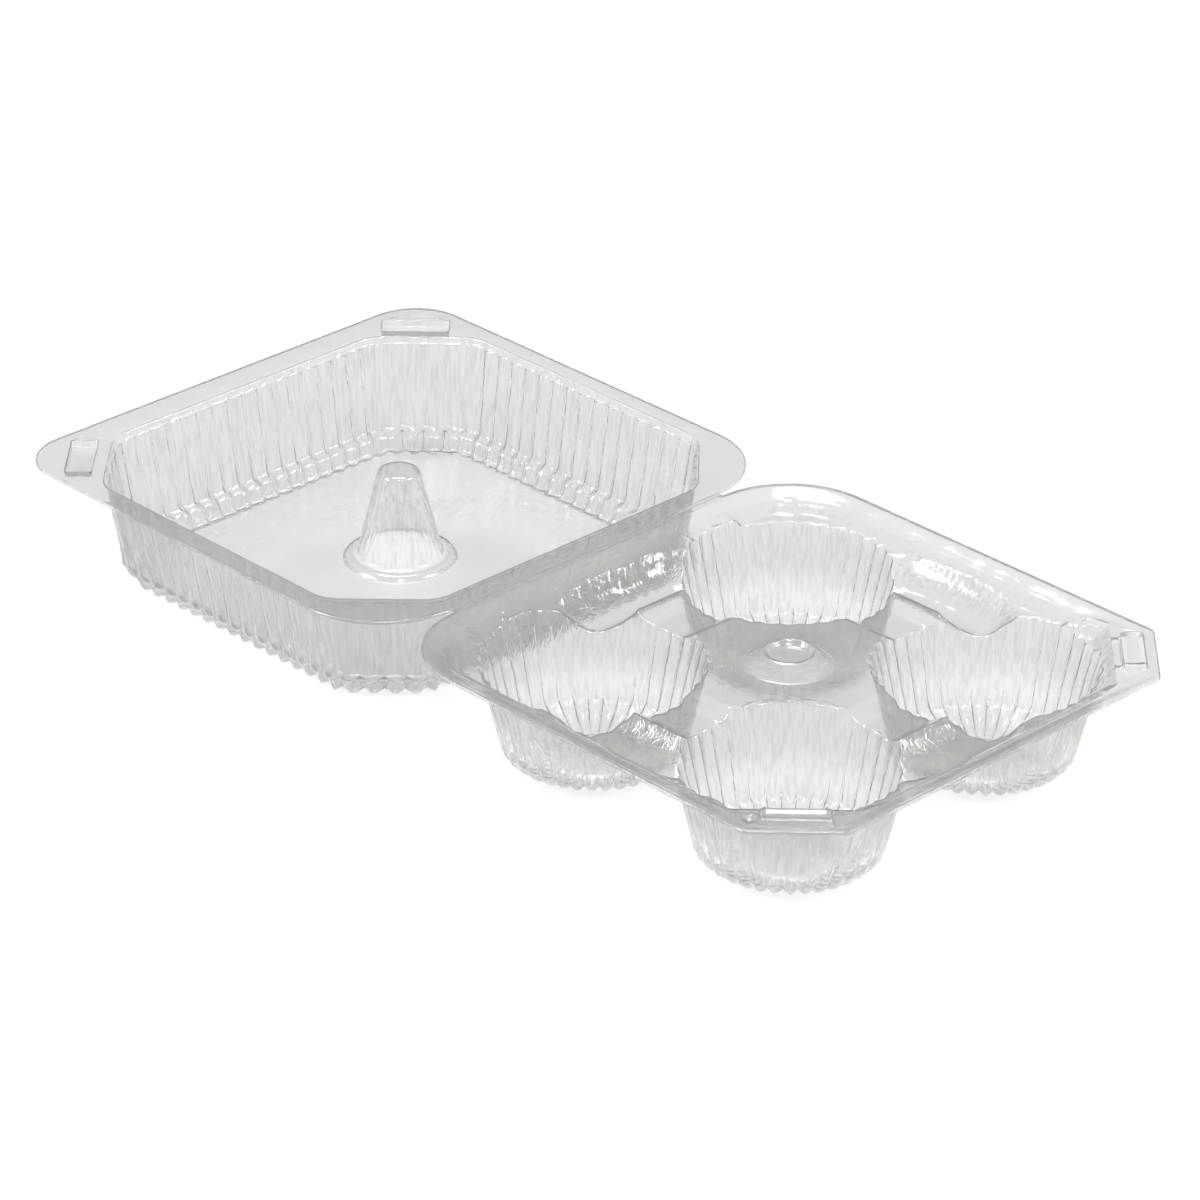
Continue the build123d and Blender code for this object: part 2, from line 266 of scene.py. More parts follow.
def distance(x, y, loop):
    """Distance from each point to a closed loop."""
    ring = np.array([(p[0], p[1]) for p in loop])
    nxt = np.roll(ring, -1, axis=0)
    best = np.full(len(x), 1e9)
    for (ax, ay), (bx, by) in zip(ring, nxt):
        dx, dy = bx - ax, by - ay
        share = np.clip(((x - ax) * dx + (y - ay) * dy) / (dx * dx + dy * dy + 1e-12), 0, 1)
        best = np.minimum(best, np.hypot(x - ax - share * dx, y - ay - share * dy))
    return best


def raised(flat, heights):
    """Points of a flat ring, each at its own height."""
    return [(x, y, z) for (x, y), z in zip(flat, heights)]


def ease(value):
    value = np.clip(value, 0, 1)
    return value * value * (3 - 2 * value)


def spread(low, high, step):
    """Evenly spaced values from low to high, about a step apart."""
    return np.linspace(low, high, max(2, int(round(abs(high - low) / step)) + 1))


def shared(low, high, count):
    """The same number of evenly spaced values whatever the length, so that rings can be joined."""
    return np.linspace(low, high, count)


def quarter_turn(centre, radius, start, count):
    """Points of a quarter turn without its two ends."""
    turns = [start + pi / 2 * k / count for k in range(1, count)]
    return [(centre[0] + radius * cos(turn), centre[1] + radius * sin(turn)) for turn in turns]


def rounded_box(x, y, half_length, half_width, radius):
    """Signed distance to a rounded rectangle about the origin, negative inside."""
    qx = np.abs(x) - half_length + radius
    qy = np.abs(y) - half_width + radius
    return np.hypot(np.maximum(qx, 0), np.maximum(qy, 0)) + np.minimum(np.maximum(qx, qy), 0) - radius


def turned_profile(sheet, centre, profile, count):
    """Ring of strips turned about a centre from (radius, height) pairs, closed at its middle."""
    cx, cy = centre
    turns = [2 * pi * k / count for k in range(count)]
    rows = [[(cx + r * cos(a), cy + r * sin(a), z) for a in turns] for r, z in profile if r > 0]
    sheet.strip(rows)
    sheet.disc(rows[-1], (cx, cy, profile[-1][1]))
    return rows[0]


def normals_of(profile):
    """Unit normals of an open profile in its own plane, to the left of its direction."""
    line = np.array(profile, float)
    along = np.gradient(line, axis=0)
    along /= np.linalg.norm(along, axis=1)[:, None]
    return np.stack([-along[:, 1], along[:, 0]], axis=1)


def bulge(step):
    """Outward share of a flute across its width: a round lobe between two narrow ridges."""
    return np.sin(pi * np.asarray(step)) ** 1.25


FLUTE_STEPS = (0.0, 0.05, 0.13, 0.24, 0.37, 0.5, 0.63, 0.76, 0.87, 0.95)


# ---------------------------------------------------------------- the tray

CHAMFER = 23.0  # front corner of the tray
LATCH_T = (0.0, 2.5, 5.0, 7.4, 8.7, 9.1, 9.5, 9.9, 10.3, 10.8, 11.2, 11.5, 11.8, 12.1, 12.6)
BUTTON_LENGTH = 23.0
BUTTON_NEAR, BUTTON_FAR = 4.0, 12.0  # from the chamfered edge
BUTTON_SLOPE, BUTTON_PAN = 0.6, 0.7  # run of the button's sides, and depth of the pan in its top
RIB_PLACE = 9.5  # either side of the button's middle
RIB_TOP = 0.4  # above the rim, so that the shut lid clears the ribs
DIMPLE_PLACE, DIMPLE_R, DIMPLE_DEPTH = (-14.3, 0.3), 2.1, 1.2
LEDGE_CORNER = 14.5
LIP, LEDGE, RISER = 2.4, 7.0, 9.5  # from the outer edge
RISER_CORNER = 17.0
SOFT_TURN = 1.8  # how far each end of the chamfer is softened
RIM_DISH, CORNER_DISH = 1.75, 0.4  # fall of the rim's top along the sides and at the front corners
LIP_Z = -0.1
RISER_Z, SHELF_Z = -3.2, -5.5  # foot of the step, and the shelf inside it


def soft_corner(start, corner, end, count=8):
    """Points between start and end on a curve that is drawn towards the corner."""
    points = []
    for k in range(1, count):
        t = k / count
        points.append(tuple(start * (1 - t) ** 2 + corner * 2 * t * (1 - t) + end * t ** 2))
    return points


def tray_half_ring(side, corner):
    """Right half of a ring of the tray, from the middle of the hinge edge to the middle of the front.

    The ring is set in by side along the straight edges and by corner across the front corner.
    """
    x = HALF - side
    near, far = side, DEPTH - side
    points = [(v, near) for v in shared(0, HINGE_END, 42)]
    points.extend(quarter_turn((HINGE_END, HINGE_R), HINGE_R - side, -pi / 2, 36))
    sum_xy = HALF + DEPTH - CHAMFER - corner * sqrt(2)
    a = Vector((x, sum_xy - x))
    b = Vector((sum_xy - far, far))
    along = (b - a).normalized()
    half_length = (b - a).length / 2
    mid = (a + b) / 2
    points.extend((x, v) for v in shared(HINGE_R, a.y - SOFT_TURN, 88))
    points.extend(soft_corner(Vector((x, a.y - SOFT_TURN)), a, a + along * SOFT_TURN))
    edge = half_length - SOFT_TURN
    last = LATCH_T[-1]
    places = list(np.linspace(-edge, -last, 11)[:-1]) + [-t for t in reversed(LATCH_T)][:-1]
    places += list(LATCH_T) + list(np.linspace(last, edge, 6)[1:])
    points.extend(tuple(mid + along * t) for t in places)
    points.extend(soft_corner(b - along * SOFT_TURN, b, Vector((b.x - SOFT_TURN, far))))
    points.extend((v, far) for v in shared(b.x - SOFT_TURN, 0, 47))
    return points


def both_halves(points):
    """Close a right half ring with its mirror image."""
    return points + [(-x, y) for x, y in reversed(points[1:-1])]


def tray_counts():
    """How far each column round the tray, the same in every ring, is at the hinge and at a front corner."""
    half = tray_half_ring(0, 0)
    flat_hinge = [1.0 if x < HINGE_END and y < 1 else 0.0 for x, y in half]
    m = Vector((HALF - CHAMFER / 2, DEPTH - CHAMFER / 2))
    corner = [1 - float(ease((np.hypot(x - m.x, y - m.y) - 15) / 14)) for x, y in half]
    return [np.array(kind + kind[-2:0:-1]) for kind in (flat_hinge, corner)]


# Small lugs and pads moulded on the step inside the rim: place and half width.
LUGS = (
    (74.5, 20.0, 2.2), (-66.0, 10.5, 2.2), (86.0, 143.0, 2.6), (-86.0, 143.0, 2.6),
    (55.0, 181.0, 2.6), (-55.0, 181.0, 2.6),
    (-44.0, 9.0, 5.5), (-19.0, 9.0, 5.5), (6.0, 9.0, 5.5), (30.0, 9.0, 5.5), (52.0, 9.0, 5.0),
)


def lug_shift(ring):
    """How far the step stands further in at each column, for the lugs and pads."""
    shift = np.zeros(len(ring))
    flat = np.array(ring)[:, :2]
    for x, y, half in LUGS:
        away = np.hypot(flat[:, 0] - x, flat[:, 1] - y)
        nearest = away.min()
        along = np.sqrt(np.maximum(away ** 2 - nearest ** 2, 0))
        shift = np.maximum(shift, np.where(along < half, 1.5, 0.0))
    return shift


def inward(ring):
    """Unit directions into a ring that runs anticlockwise."""
    flat = np.array(ring)[:, :2]
    along = np.roll(flat, -1, axis=0) - np.roll(flat, 1, axis=0)
    along /= np.linalg.norm(along, axis=1)[:, None]
    return np.stack([-along[:, 1], along[:, 0]], axis=1)


def latch_bumps(x, y, height, rim_top):
    """Height above the rim's top of the latch button, its two ribs and the dimple beside it."""
    mid = Vector((HALF - CHAMFER / 2, DEPTH - CHAMFER / 2))
    px, py = np.abs(x) - mid.x, y - mid.y
    d = -(px + py) / sqrt(2)  # in from the chamfered edge
    t = (py - px) / sqrt(2)  # along it, towards the front
    centre = (BUTTON_NEAR + BUTTON_FAR) / 2
    box = rounded_box(t, d - centre, BUTTON_LENGTH / 2, (BUTTON_FAR - BUTTON_NEAR) / 2, 1.2)
    up = height * ease(0.5 - box / BUTTON_SLOPE)
    up = up - BUTTON_PAN * ease(0.5 - (box + 1.7) / BUTTON_SLOPE)
    rib = (np.abs(np.abs(t) - RIB_PLACE) < 0.6) & (d > BUTTON_FAR - 0.4) & (d < LEDGE_CORNER + 0.2)
    up = np.where(rib, np.maximum(up, RIB_TOP - rim_top), up)
    dimple = np.hypot(t - DIMPLE_PLACE[0], d - centre - DIMPLE_PLACE[1])
    return up - DIMPLE_DEPTH * ease((DIMPLE_R - dimple) / 0.8)


TROUGH_FOLDS = (34.7, 35.6, 40.6, 41.6, 53.6, 54.6, 60.2, 60.8)  # out from the middle of the deck
TROUGH_HEIGHTS = (0, -0.25, -3.3, -3.5, -3.5, -3.3, 0.15, 0.0)  # against the deck, at each fold
TROUGH_HALF = 30.0  # from the middle of a trough to well inside the cups beside it
CREST = 60.5  # from there the side pocket falls away
POCKET_LOW, POCKET_RUN = 71.5, 11.3  # lowest line of a side pocket, and its run from the crest
POCKET_DEPTH = 8.6


def deck_height(x, y, wall):
    """Height of the tray between its cups: shelf, deck, troughs and side pockets."""
    u, v = np.abs(x), np.abs(y - TRAY_MID)
    out, across = np.maximum(u, v), np.minimum(u, v)
    from_wall = distance(x, y, wall)
    level = RISER_Z + (SHELF_Z - RISER_Z) * ease(from_wall / 3.6)
    trough = np.interp(out, TROUGH_FOLDS, TROUGH_HEIGHTS)
    level = level + np.where((across < TROUGH_HALF) & (out < TROUGH_FOLDS[-1] + 0.1), trough, 0)
    outer = 85.0 - 6.5 * (across / 34) ** 2
    rise = np.where(out < POCKET_LOW, (POCKET_LOW - out) / POCKET_RUN,
                    (out - POCKET_LOW) / (outer - POCKET_LOW))
    depth = 1 - np.clip(rise, 0, 1) ** 2
    side = 1 - ease((across - 19) / 15)
    pocket = POCKET_DEPTH * depth * side * ease(from_wall / 1.4)
    return level - np.where(out > CREST, pocket, 0)


CUP_FOOT_Z = -34.0  # where a cup's wall starts to turn in
CUP_FLAT = 15.5  # radius of the ring it stands on
CUP_FLAT_Z = -41.6
CUP_TOP_R = 37.4  # of the lobes, at the shelf
CUP_DRAFT = 6.8 / 28.5
CUP_LIP = ((0.5, 0.08), (0.2, 0.3), (0.04, 0.65), (0.0, 1.1))  # (run out from the wall, drop)
CUP_CENTRE = ((10.0, -40.7), (6.0, -40.6), (2.5, -40.55))  # plain middle of the foot
TOE_PUSH = (  # share of the flute depth along the foot
    1, 1.15, 1.4, 1.7, 1.95, 2.1, 2.1, 2.0, 1.9, 1.75, 1.5, 1.2, 0.9, 0.6, 0.35, 0.12, 0, 0,
)


def cup_lobe_radius(z):
    """Radius of a cup's lobes at a height below the rim."""
    return CUP_TOP_R + (z - SHELF_Z) * CUP_DRAFT


def cup_columns(flutes):
    """Turn and outward share of each column of points round a cup."""
    turns, shares = [], []
    for k in range(flutes):
        for step in FLUTE_STEPS:
            turns.append(2 * pi * (k + step) / flutes)
            shares.append(bulge(step))
    return np.array(turns), np.array(shares)


def cup_mouth(centre, turns, shares, depth, wall):
    """Ring where the floor of the tray turns down into a cup, following the troughs."""
    cx, cy = centre
    z = np.full(len(turns), SHELF_Z)
    for _ in range(5):
        radius = cup_lobe_radius(z) - depth * (1 - shares) + 0.8
        x, y = cx + radius * np.cos(turns), cy + radius * np.sin(turns)
        z = deck_height(x, y, wall)
    return list(zip(x, y, z))


def draw_cup(sheet, centre, mouth, turns, shares, depth):
    """Fluted cup from its mouth down to the rounded foot and the flat ring that it stands on."""
    cx, cy = centre
    top = np.array([p[2] for p in mouth])
    rows = [mouth]

    def row(radius, z):
        return list(zip(cx + radius * np.cos(turns), cy + radius * np.sin(turns), z))

    for out, down in CUP_LIP:
        z = top - down
        rows.append(row(cup_lobe_radius(z) - depth * (1 - shares) + out, z))
    for share in np.linspace(0, 1, 13)[1:-1]:
        z = (top - CUP_LIP[-1][1]) * (1 - share) + CUP_FOOT_Z * share
        rows.append(row(cup_lobe_radius(z) - depth * (1 - shares), z))
    reach = cup_lobe_radius(CUP_FOOT_Z) - CUP_FLAT
    drop = CUP_FOOT_Z - CUP_FLAT_Z
    lower = []
    for k in range(14):
        turn = pi / 2 * k / 13
        lower.append((CUP_FLAT + reach * cos(turn), CUP_FOOT_Z - drop * sin(turn)))
    lower += [(14.9, -41.5), (14.3, -41.2), (13.8, -40.95), (13.0, -40.8)]
    away = normals_of(lower)
    for (r, z), (nr, nz), much in zip(lower, away, TOE_PUSH):
        off = -depth * much * (1 - shares)
        rows.append(row(r + nr * off, z + nz * off))
    for r, z in CUP_CENTRE:
        rows.append(row(np.full(len(turns), r), np.full(len(turns), z)))
    sheet.strip(rows)
    sheet.disc(rows[-1], (cx, cy, CUP_CENTRE[-1][1]))


MOUTH_REACH = 39.2  # radius at which the troughs' folds stop, just outside a cup's mouth
BOSS_PROFILE = (  # (radius, height)
    (15.4, -5.5), (15.0, -5.4), (14.5, -5.05), (13.2, -4.1), (11.8, -3.05), (10.4, -2.1), (9.4, -1.55),
    (8.9, -1.3), (8.5, -1.22), (8.1, -1.26), (7.7, -1.5), (7.3, -2.2), (6.95, -2.85), (6.5, -3.15),
    (5.6, -3.25), (3.0, -3.3),
)


def grid_points(step, keep):
    """Loose points of a staggered grid over one half, where keep says so."""
    points = []
    rows = int(DEPTH / (step * 0.866))
    for i in range(rows + 1):
        shift = step / 2 if i % 2 else 0.0
        for j in range(int(2 * HALF / step) + 1):
            points.append((-HALF + shift + j * step, i * step * 0.866))
    flat = np.array(points)
    return [tuple(p) for p in flat[keep(flat[:, 0], flat[:, 1])]]


RIM_RINGS = (  # how far each ring across the latch is from the chamfered edge
    2.4, 2.9, 3.4, 3.65, 3.9, 4.15, 4.5, 5.3, 6.4, 8.0,
    9.6, 10.7, 11.5, 11.85, 12.1, 12.4, 13.0, 13.9, 14.5,
)


def draw_rim_and_step(sheet, button_height):
    """The tray's rolled edge, its rim with the latch buttons, and the step down to the shelf."""
    flat_hinge, corner_share = tray_counts()
    rows = []
    for side, drop in RIM_EDGE + ((1.7, 0.0), (2.15, -0.02)):
        height = drop * (1 - flat_hinge) + CREASE_Z * flat_hinge
        rows.append(raised(both_halves(tray_half_ring(side, side)), height))
    fall = RIM_DISH - (RIM_DISH - CORNER_DISH) * corner_share
    for corner in RIM_RINGS:
        share = (corner - LIP) / (LEDGE_CORNER - LIP)
        side = LIP + share * (LEDGE - LIP)
        flat = both_halves(tray_half_ring(side, corner))
        x, y = np.array(flat).T
        top = LIP_Z - fall * share ** 1.3
        bumps = latch_bumps(x, y, button_height, top)
        rows.append(raised(flat, top + np.where(corner_share > 0.2, bumps, 0)))
    ledge_z = LIP_Z - fall
    shift = lug_shift(both_halves(tray_half_ring(LEDGE, LEDGE_CORNER)))
    for share in (0.1, 0.3, 0.6, 0.85, 1.0):
        side = LEDGE + share * (RISER - LEDGE)
        corner = LEDGE_CORNER + share * (RISER_CORNER - LEDGE_CORNER)
        flat = np.array(both_halves(tray_half_ring(side, corner)))
        flat = flat + inward(flat) * (shift * ease(share * 3))[:, None]
        rows.append(raised(flat, ledge_z + (RISER_Z - ledge_z) * (share ** 1.3)))
    sheet.strip(rows)
    return rows[-1]


def trough_lines():
    """Folds across the four troughs, from cup to cup."""
    lines = []
    for out in TROUGH_FOLDS:
        room = CUP_REACH - sqrt(MOUTH_REACH ** 2 - (out - CUP_REACH) ** 2)
        across = spread(-room, room, 1.6)
        lines.append([(out, TRAY_MID + v) for v in across])
        lines.append([(-out, TRAY_MID + v) for v in across])
        lines.append([(v, TRAY_MID + out) for v in across])
        lines.append([(v, TRAY_MID - out) for v in across])
    return lines


def deck_points(wall, mouths):
    """Loose points of the deck: rows along the step, and a grid clear of every fold and mouth."""
    def keep(x, y):
        flat = np.stack([x, y], axis=1)
        good = inside(flat, wall) & (distance(x, y, wall) > 0.9)
        good &= np.hypot(x, y - TRAY_MID) > BOSS_PROFILE[0][0] + 0.8
        u, v = np.abs(x), np.abs(y - TRAY_MID)
        for out in (35.1, 41.1, 54.1, 60.5):  # between the two folds of each pair
            good &= (np.abs(np.maximum(u, v) - out) > 1.1) | (np.minimum(u, v) > 20)
        for mouth in mouths:
            good &= ~inside(flat, mouth) & (distance(x, y, mouth) > 0.7)
        return good

    flat_wall = np.array([(p[0], p[1]) for p in wall])
    steps_in = inward(flat_wall)
    beside = np.concatenate([(flat_wall + steps_in * inset)[::2] for inset in (0.7, 1.5, 2.5, 3.6)])
    away = np.ones(len(beside), bool)
    for mouth in mouths:
        away &= ~inside(beside, mouth) & (distance(beside[:, 0], beside[:, 1], mouth) > 0.6)
    return [tuple(p) for p in beside[away]] + grid_points(1.7, keep)


def draw_tray(sizes):
    sheet = Sheet()
    wall = draw_rim_and_step(sheet, sizes.button_height / MM)
    turns, shares = cup_columns(sizes.cup_flutes)
    depth = sizes.cup_flute_depth / MM
    mouths = []
    for sx in (-1, 1):
        for sy in (-1, 1):
            centre = (sx * CUP_REACH, TRAY_MID + sy * CUP_REACH)
            mouth = cup_mouth(centre, turns, shares, depth, wall)
            draw_cup(sheet, centre, mouth, turns, shares, depth)
            mouths.append(mouth)
    boss = turned_profile(sheet, (0, TRAY_MID), BOSS_PROFILE, 72)
    sheet.area(wall, mouths + [boss], trough_lines(), deck_points(wall, mouths),
               lambda x, y: deck_height(x, y, wall))
    return sheet


# ---------------------------------------------------------------- the lid

LID_CORNER_R = 20.0
LID_RIM, LID_FRONT_RIM = 7.6, 12.4
LID_CHAMFER = 27.0
LID_PROFILE = (  # (run in from the rim's inner edge, height) of the wall's lobes
    (0.0, 0.0), (0.3, -0.06), (0.55, -0.25), (0.75, -0.7), (1.0, -1.5), (1.2, -2.15), (1.32, -2.4),
    (1.5, -2.7), (1.65, -3.4), (1.9, -5.0), (2.5, -9.0), (3.1, -13.0), (3.7, -17.0), (4.3, -21.0),
    (4.9, -25.0), (5.35, -28.0), (5.7, -31.0), (5.9, -32.8), (6.15, -33.9), (6.6, -34.8), (7.25, -35.45),
    (8.0, -35.85), (8.7, -36.3), (9.3, -37.2), (9.75, -38.5), (10.2, -39.8), (10.85, -40.9), (11.7, -41.5),
    (12.5, -41.6), (13.4, -41.3), (14.4, -40.5), (15.2, -39.8), (16.0, -39.1), (16.6, -38.6),
    (17.1, -38.25), (17.6, -38.05), (18.3, -38.0),
)
LID_DEPTHS = (  # share of the flute depth at each point of the profile
    0, 0, 0, 0, 0, 0, 0.35, 0.8, 0.8, 0.78, 0.75, 0.75, 0.75, 0.75, 0.8, 0.85, 0.95, 1.1,
    1.3, 1.5, 1.5, 1.4, 1.35, 1.35, 1.4, 1.4, 1.4, 1.35, 1.25, 1.15, 1.05, 0.95, 0.8, 0.6, 0.35, 0.12, 0,
)
CORNER_DEPTHS = (  # the same across the chamfers
    0, 0, 0, 0, 0, 0, 0.3, 0.6, 0.5, 0.3, 0.18, 0.12, 0.1, 0.1, 0.1, 0.12, 0.15, 0.2, 0.4, 1.2, 1.9, 2.2, 2.3,
    2.3, 2.3, 2.3, 2.2, 2.0, 1.7, 1.4, 1.1, 0.85, 0.65, 0.45, 0.22, 0.06, 0,
)
ROOF_Z = LID_PROFILE[-1][1]
POST_RING_R = 16.5
POST_PROFILE = (  # (radius, height)
    (21.0, -38.0), (20.4, -37.95), (20.0, -37.7), (19.7, -37.2), (19.3, -36.7), (18.6, -36.25), (17.7, -36.0),
    (16.8, -35.95), (16.0, -35.9), (15.35, -35.6), (14.9, -35.0), (14.6, -34.0), (14.2, -32.0), (12.7, -26.0),
    (11.2, -20.0), (9.7, -14.0), (8.4, -8.6), (7.75, -6.0), (7.45, -5.1), (7.0, -4.45), (6.4, -4.1),
    (5.7, -4.02), (3.0, -4.0),
)


def lid_outline(side):
    """Outer ring of the lid, set in all round."""
    corner = (HALF - LID_CORNER_R, DEPTH - LID_CORNER_R)
    points = [(v, side) for v in shared(0, HINGE_END, 32)]
    points.extend(quarter_turn((HINGE_END, HINGE_R), HINGE_R - side, -pi / 2, 30))
    points.extend((HALF - side, v) for v in shared(HINGE_R, corner[1], 70))
    points.extend(quarter_turn(corner, LID_CORNER_R - side, 0, 24))
    points.extend((v, DEPTH - side) for v in shared(corner[0], 0, 39))
    return both_halves(points)


def wall_corners(run):
    """Corners of the lid's wall in plan, set in from the rim's inner edge."""
    x = HALF - LID_RIM - run
    near = LID_RIM + run
    far = DEPTH - LID_FRONT_RIM - run
    c = LID_CHAMFER - (2 - sqrt(2)) * run
    return [
        (-x + c, near), (x - c, near), (x, near + c), (x, far - c),
        (x - c, far), (-x + c, far), (-x, far - c), (-x, near + c),
    ]


WALL_TURN_R = 13.0  # rounding between a side of the wall and its chamfer
CHAMFER_PITCH = 8.7  # width of a flute across a chamfer
TOE_RIPPLE = 0.5  # split of each toe into two, below the wall
TOE_TOP = -34.0
CORNER_LEDGE, LEDGE_Z = 0.4, -32.6  # small ledge over the toes across the chamfers


def lid_columns(pitch):
    """Side, place along it, place across its flute and share of the corner's own shape, per column."""
    outline = wall_corners(0)
    columns = []
    for k in range(8):
        length = (Vector(outline[(k + 1) % 8]) - Vector(outline[k])).length
        chamfered = k % 2 == 1
        flutes = round(length / (CHAMFER_PITCH if chamfered else pitch))
        for j in range(flutes):
            for step in FLUTE_STEPS:
                along = (j + step) / flutes
                corner = float(ease(min(along, 1 - along) / 0.14)) if chamfered else 0.0
                columns.append((k, along, step, corner))
    return columns


def wall_point(start, end, along):
    """Point on one side of the wall and its outward direction; the side's ends are rounded."""
    span = (end - start).length
    ahead = (end - start) / span
    out = Vector((ahead.y, -ahead.x))
    tangent = WALL_TURN_R * tan(pi / 8)
    travel = along * span
    near = min(travel, span - travel)
    if near >= tangent:
        return start + ahead * travel, out
    turn = pi / 8 * (1 - near / tangent)
    if travel < span - travel:
        centre = start + ahead * tangent - out * WALL_TURN_R
        facing = out * cos(turn) - ahead * sin(turn)
    else:
        centre = end - ahead * tangent - out * WALL_TURN_R
        facing = out * cos(turn) + ahead * sin(turn)
    return centre + facing * WALL_TURN_R, facing


def lid_wall_row(run, height, columns, offset):
    """One ring of the lid's wall; offset gives each column's (sideways, upward) shift from its lobe."""
    here = [Vector(corner) for corner in wall_corners(run)]
    row = []
    for (k, along, step, corner) in columns:
        p, out = wall_point(here[k], here[(k + 1) % 8], along)
        sideways, up = offset(step, corner)
        row.append((p.x + out.x * sideways, p.y + out.y * sideways, height + up))
    return row


TUB_HALF_LENGTH, TUB_HALF_WIDTH, TUB_CORNER_R = 12.3, 4.6, 1.3
TUB_LOW, TUB_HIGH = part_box("latch_recess_right")
TUB_MID = (middle("latch_recess_right").x, middle("latch_recess_right").y - HINGE_GAP)
TUB_FLOOR = 0.5 - (TUB_HIGH.z - TUB_LOW.z) / MM
TUB_PROFILE = (  # (run out from the tub's side, height)
    (0.45, 0.0), (0.15, -0.08), (0.0, -0.35),
    (-0.25, TUB_FLOOR + 0.5), (-0.45, TUB_FLOOR + 0.12), (-0.9, TUB_FLOOR),
)


def tub_ring(sign, grow):
    """Ring of a latch recess on the left or right, parallel to the chamfer that it stands beside."""
    half_length, half_width = TUB_HALF_LENGTH + grow, TUB_HALF_WIDTH + grow
    radius = max(TUB_CORNER_R + grow, 0.15)
    points = []
    for cx, cy, start in ((1, 1, 0), (-1, 1, 90), (-1, -1, 180), (1, -1, 270)):
        for k in range(6):
            turn = radians(start + 90 * k / 5)
            t = cx * (half_length - radius) + radius * cos(turn)
            d = cy * (half_width - radius) + radius * sin(turn)
            points.append((sign * (TUB_MID[0] + (t - d) / -sqrt(2)), TUB_MID[1] + (t + d) / sqrt(2)))
    return points


def draw_recess(sheet, sign):
    """Latch recess that takes a button; gives back its mouth."""
    rows = [[(x, y, z) for x, y in tub_ring(sign, grow)] for grow, z in TUB_PROFILE]
    sheet.strip(rows)
    sheet.disc(rows[-1], (sign * TUB_MID[0], TUB_MID[1], TUB_FLOOR))
    return rows[0]


def draw_lid(sizes):
    sheet = Sheet()
    rows = []
    for side, drop in RIM_EDGE + ((2.0, 0.0),):
        flat = lid_outline(side)
        rows.append(raised(flat, [drop if y > 1.2 or abs(x) > HINGE_END else CREASE_Z for x, y in flat]))
    sheet.strip(rows)
    edge = rows[-1]

    depth = sizes.lid_flute_depth / MM
    columns = lid_columns(sizes.lid_flute_pitch / MM)
    away = normals_of([(-run, z) for run, z in LID_PROFILE])
    rows = []
    for (run, z), (nr, nz), much, corner_much in zip(LID_PROFILE, away, LID_DEPTHS, CORNER_DEPTHS):
        ripple = TOE_RIPPLE * float(ease((TOE_TOP - z) / 2.0) * ease(much / 0.8))
        ledge = CORNER_LEDGE * float(ease(1 - abs(z - LEDGE_Z) / 1.6))

        def offset(step, corner):
            share = much + (corner_much - much) * corner
            back = -depth * share * (1 - float(bulge(step)))
            back += ledge * corner - ripple * (1 - corner) * sin(2 * pi * step) ** 2
            return nr * back, nz * back
        rows.append(lid_wall_row(run, z, columns, offset))
    sheet.strip(rows)
    wall_top, roof_edge = rows[0], rows[-1]

    ring = turned_profile(sheet, (0, POST_MID), POST_PROFILE, 96)
    sheet.area(roof_edge, [ring], [], [], lambda x, y: np.full(len(x), ROOF_Z))

    holes = [draw_recess(sheet, sign) for sign in (-1, 1)]
    sheet.area(edge, [wall_top, *holes], [], [], lambda x, y: np.zeros(len(x)))
    return sheet


# ---------------------------------------------------------------- finishes

def node(tree, kind, **values):
    """New node with the given settings and plain input values."""
    made = tree.nodes.new(kind)
    for key, value in values.items():
        if hasattr(made, key):
            setattr(made, key, value)
        else:
            made.inputs[key.replace("_", " ")].default_value = value
    return made


def feed(socket, value):
    """Link an output to a socket, or set the socket to a plain value."""
    if isinstance(value, bpy.types.NodeSocket):
        socket.id_data.links.new(value, socket)
    else:
        socket.default_value = value


def maths(tree, operation, *values, kind="ShaderNodeMath"):
    made = node(tree, kind, operation=operation)
    for socket, value in zip(made.inputs, values):
        feed(socket, value)
    return made.outputs["Value"] if operation == "DISTANCE" else made.outputs[0]


def eased(tree, value, low, high, to_low=0.0, to_high=1.0):
    """Goes from to_low to to_high, with soft ends, as the value goes from low to high."""
    made = node(tree, "ShaderNodeMapRange", interpolation_type="SMOOTHSTEP")
    names = ("Value", "From Min", "From Max", "To Min", "To Max")
    for name, amount in zip(names, (value, low, high, to_low, to_high)):
        feed(made.inputs[name], amount)
    return made.outputs["Result"]


def mixed(tree, share, first, second):
    """Colour that goes from the first to the second as share goes from 0 to 1."""
    mix = node(tree, "ShaderNodeMix", data_type="RGBA")
    for socket, value in zip((mix.inputs[0], mix.inputs[6], mix.inputs[7]), (share, first, second)):
        feed(socket, value)
    return mix.outputs[2]


def noise(tree, where, scale, detail, roughness):
    made = node(tree, "ShaderNodeTexNoise", Detail=detail, Roughness=roughness)
    feed(made.inputs["Vector"], where)
    feed(made.inputs["Scale"], scale)
    return made.outputs["Fac"]


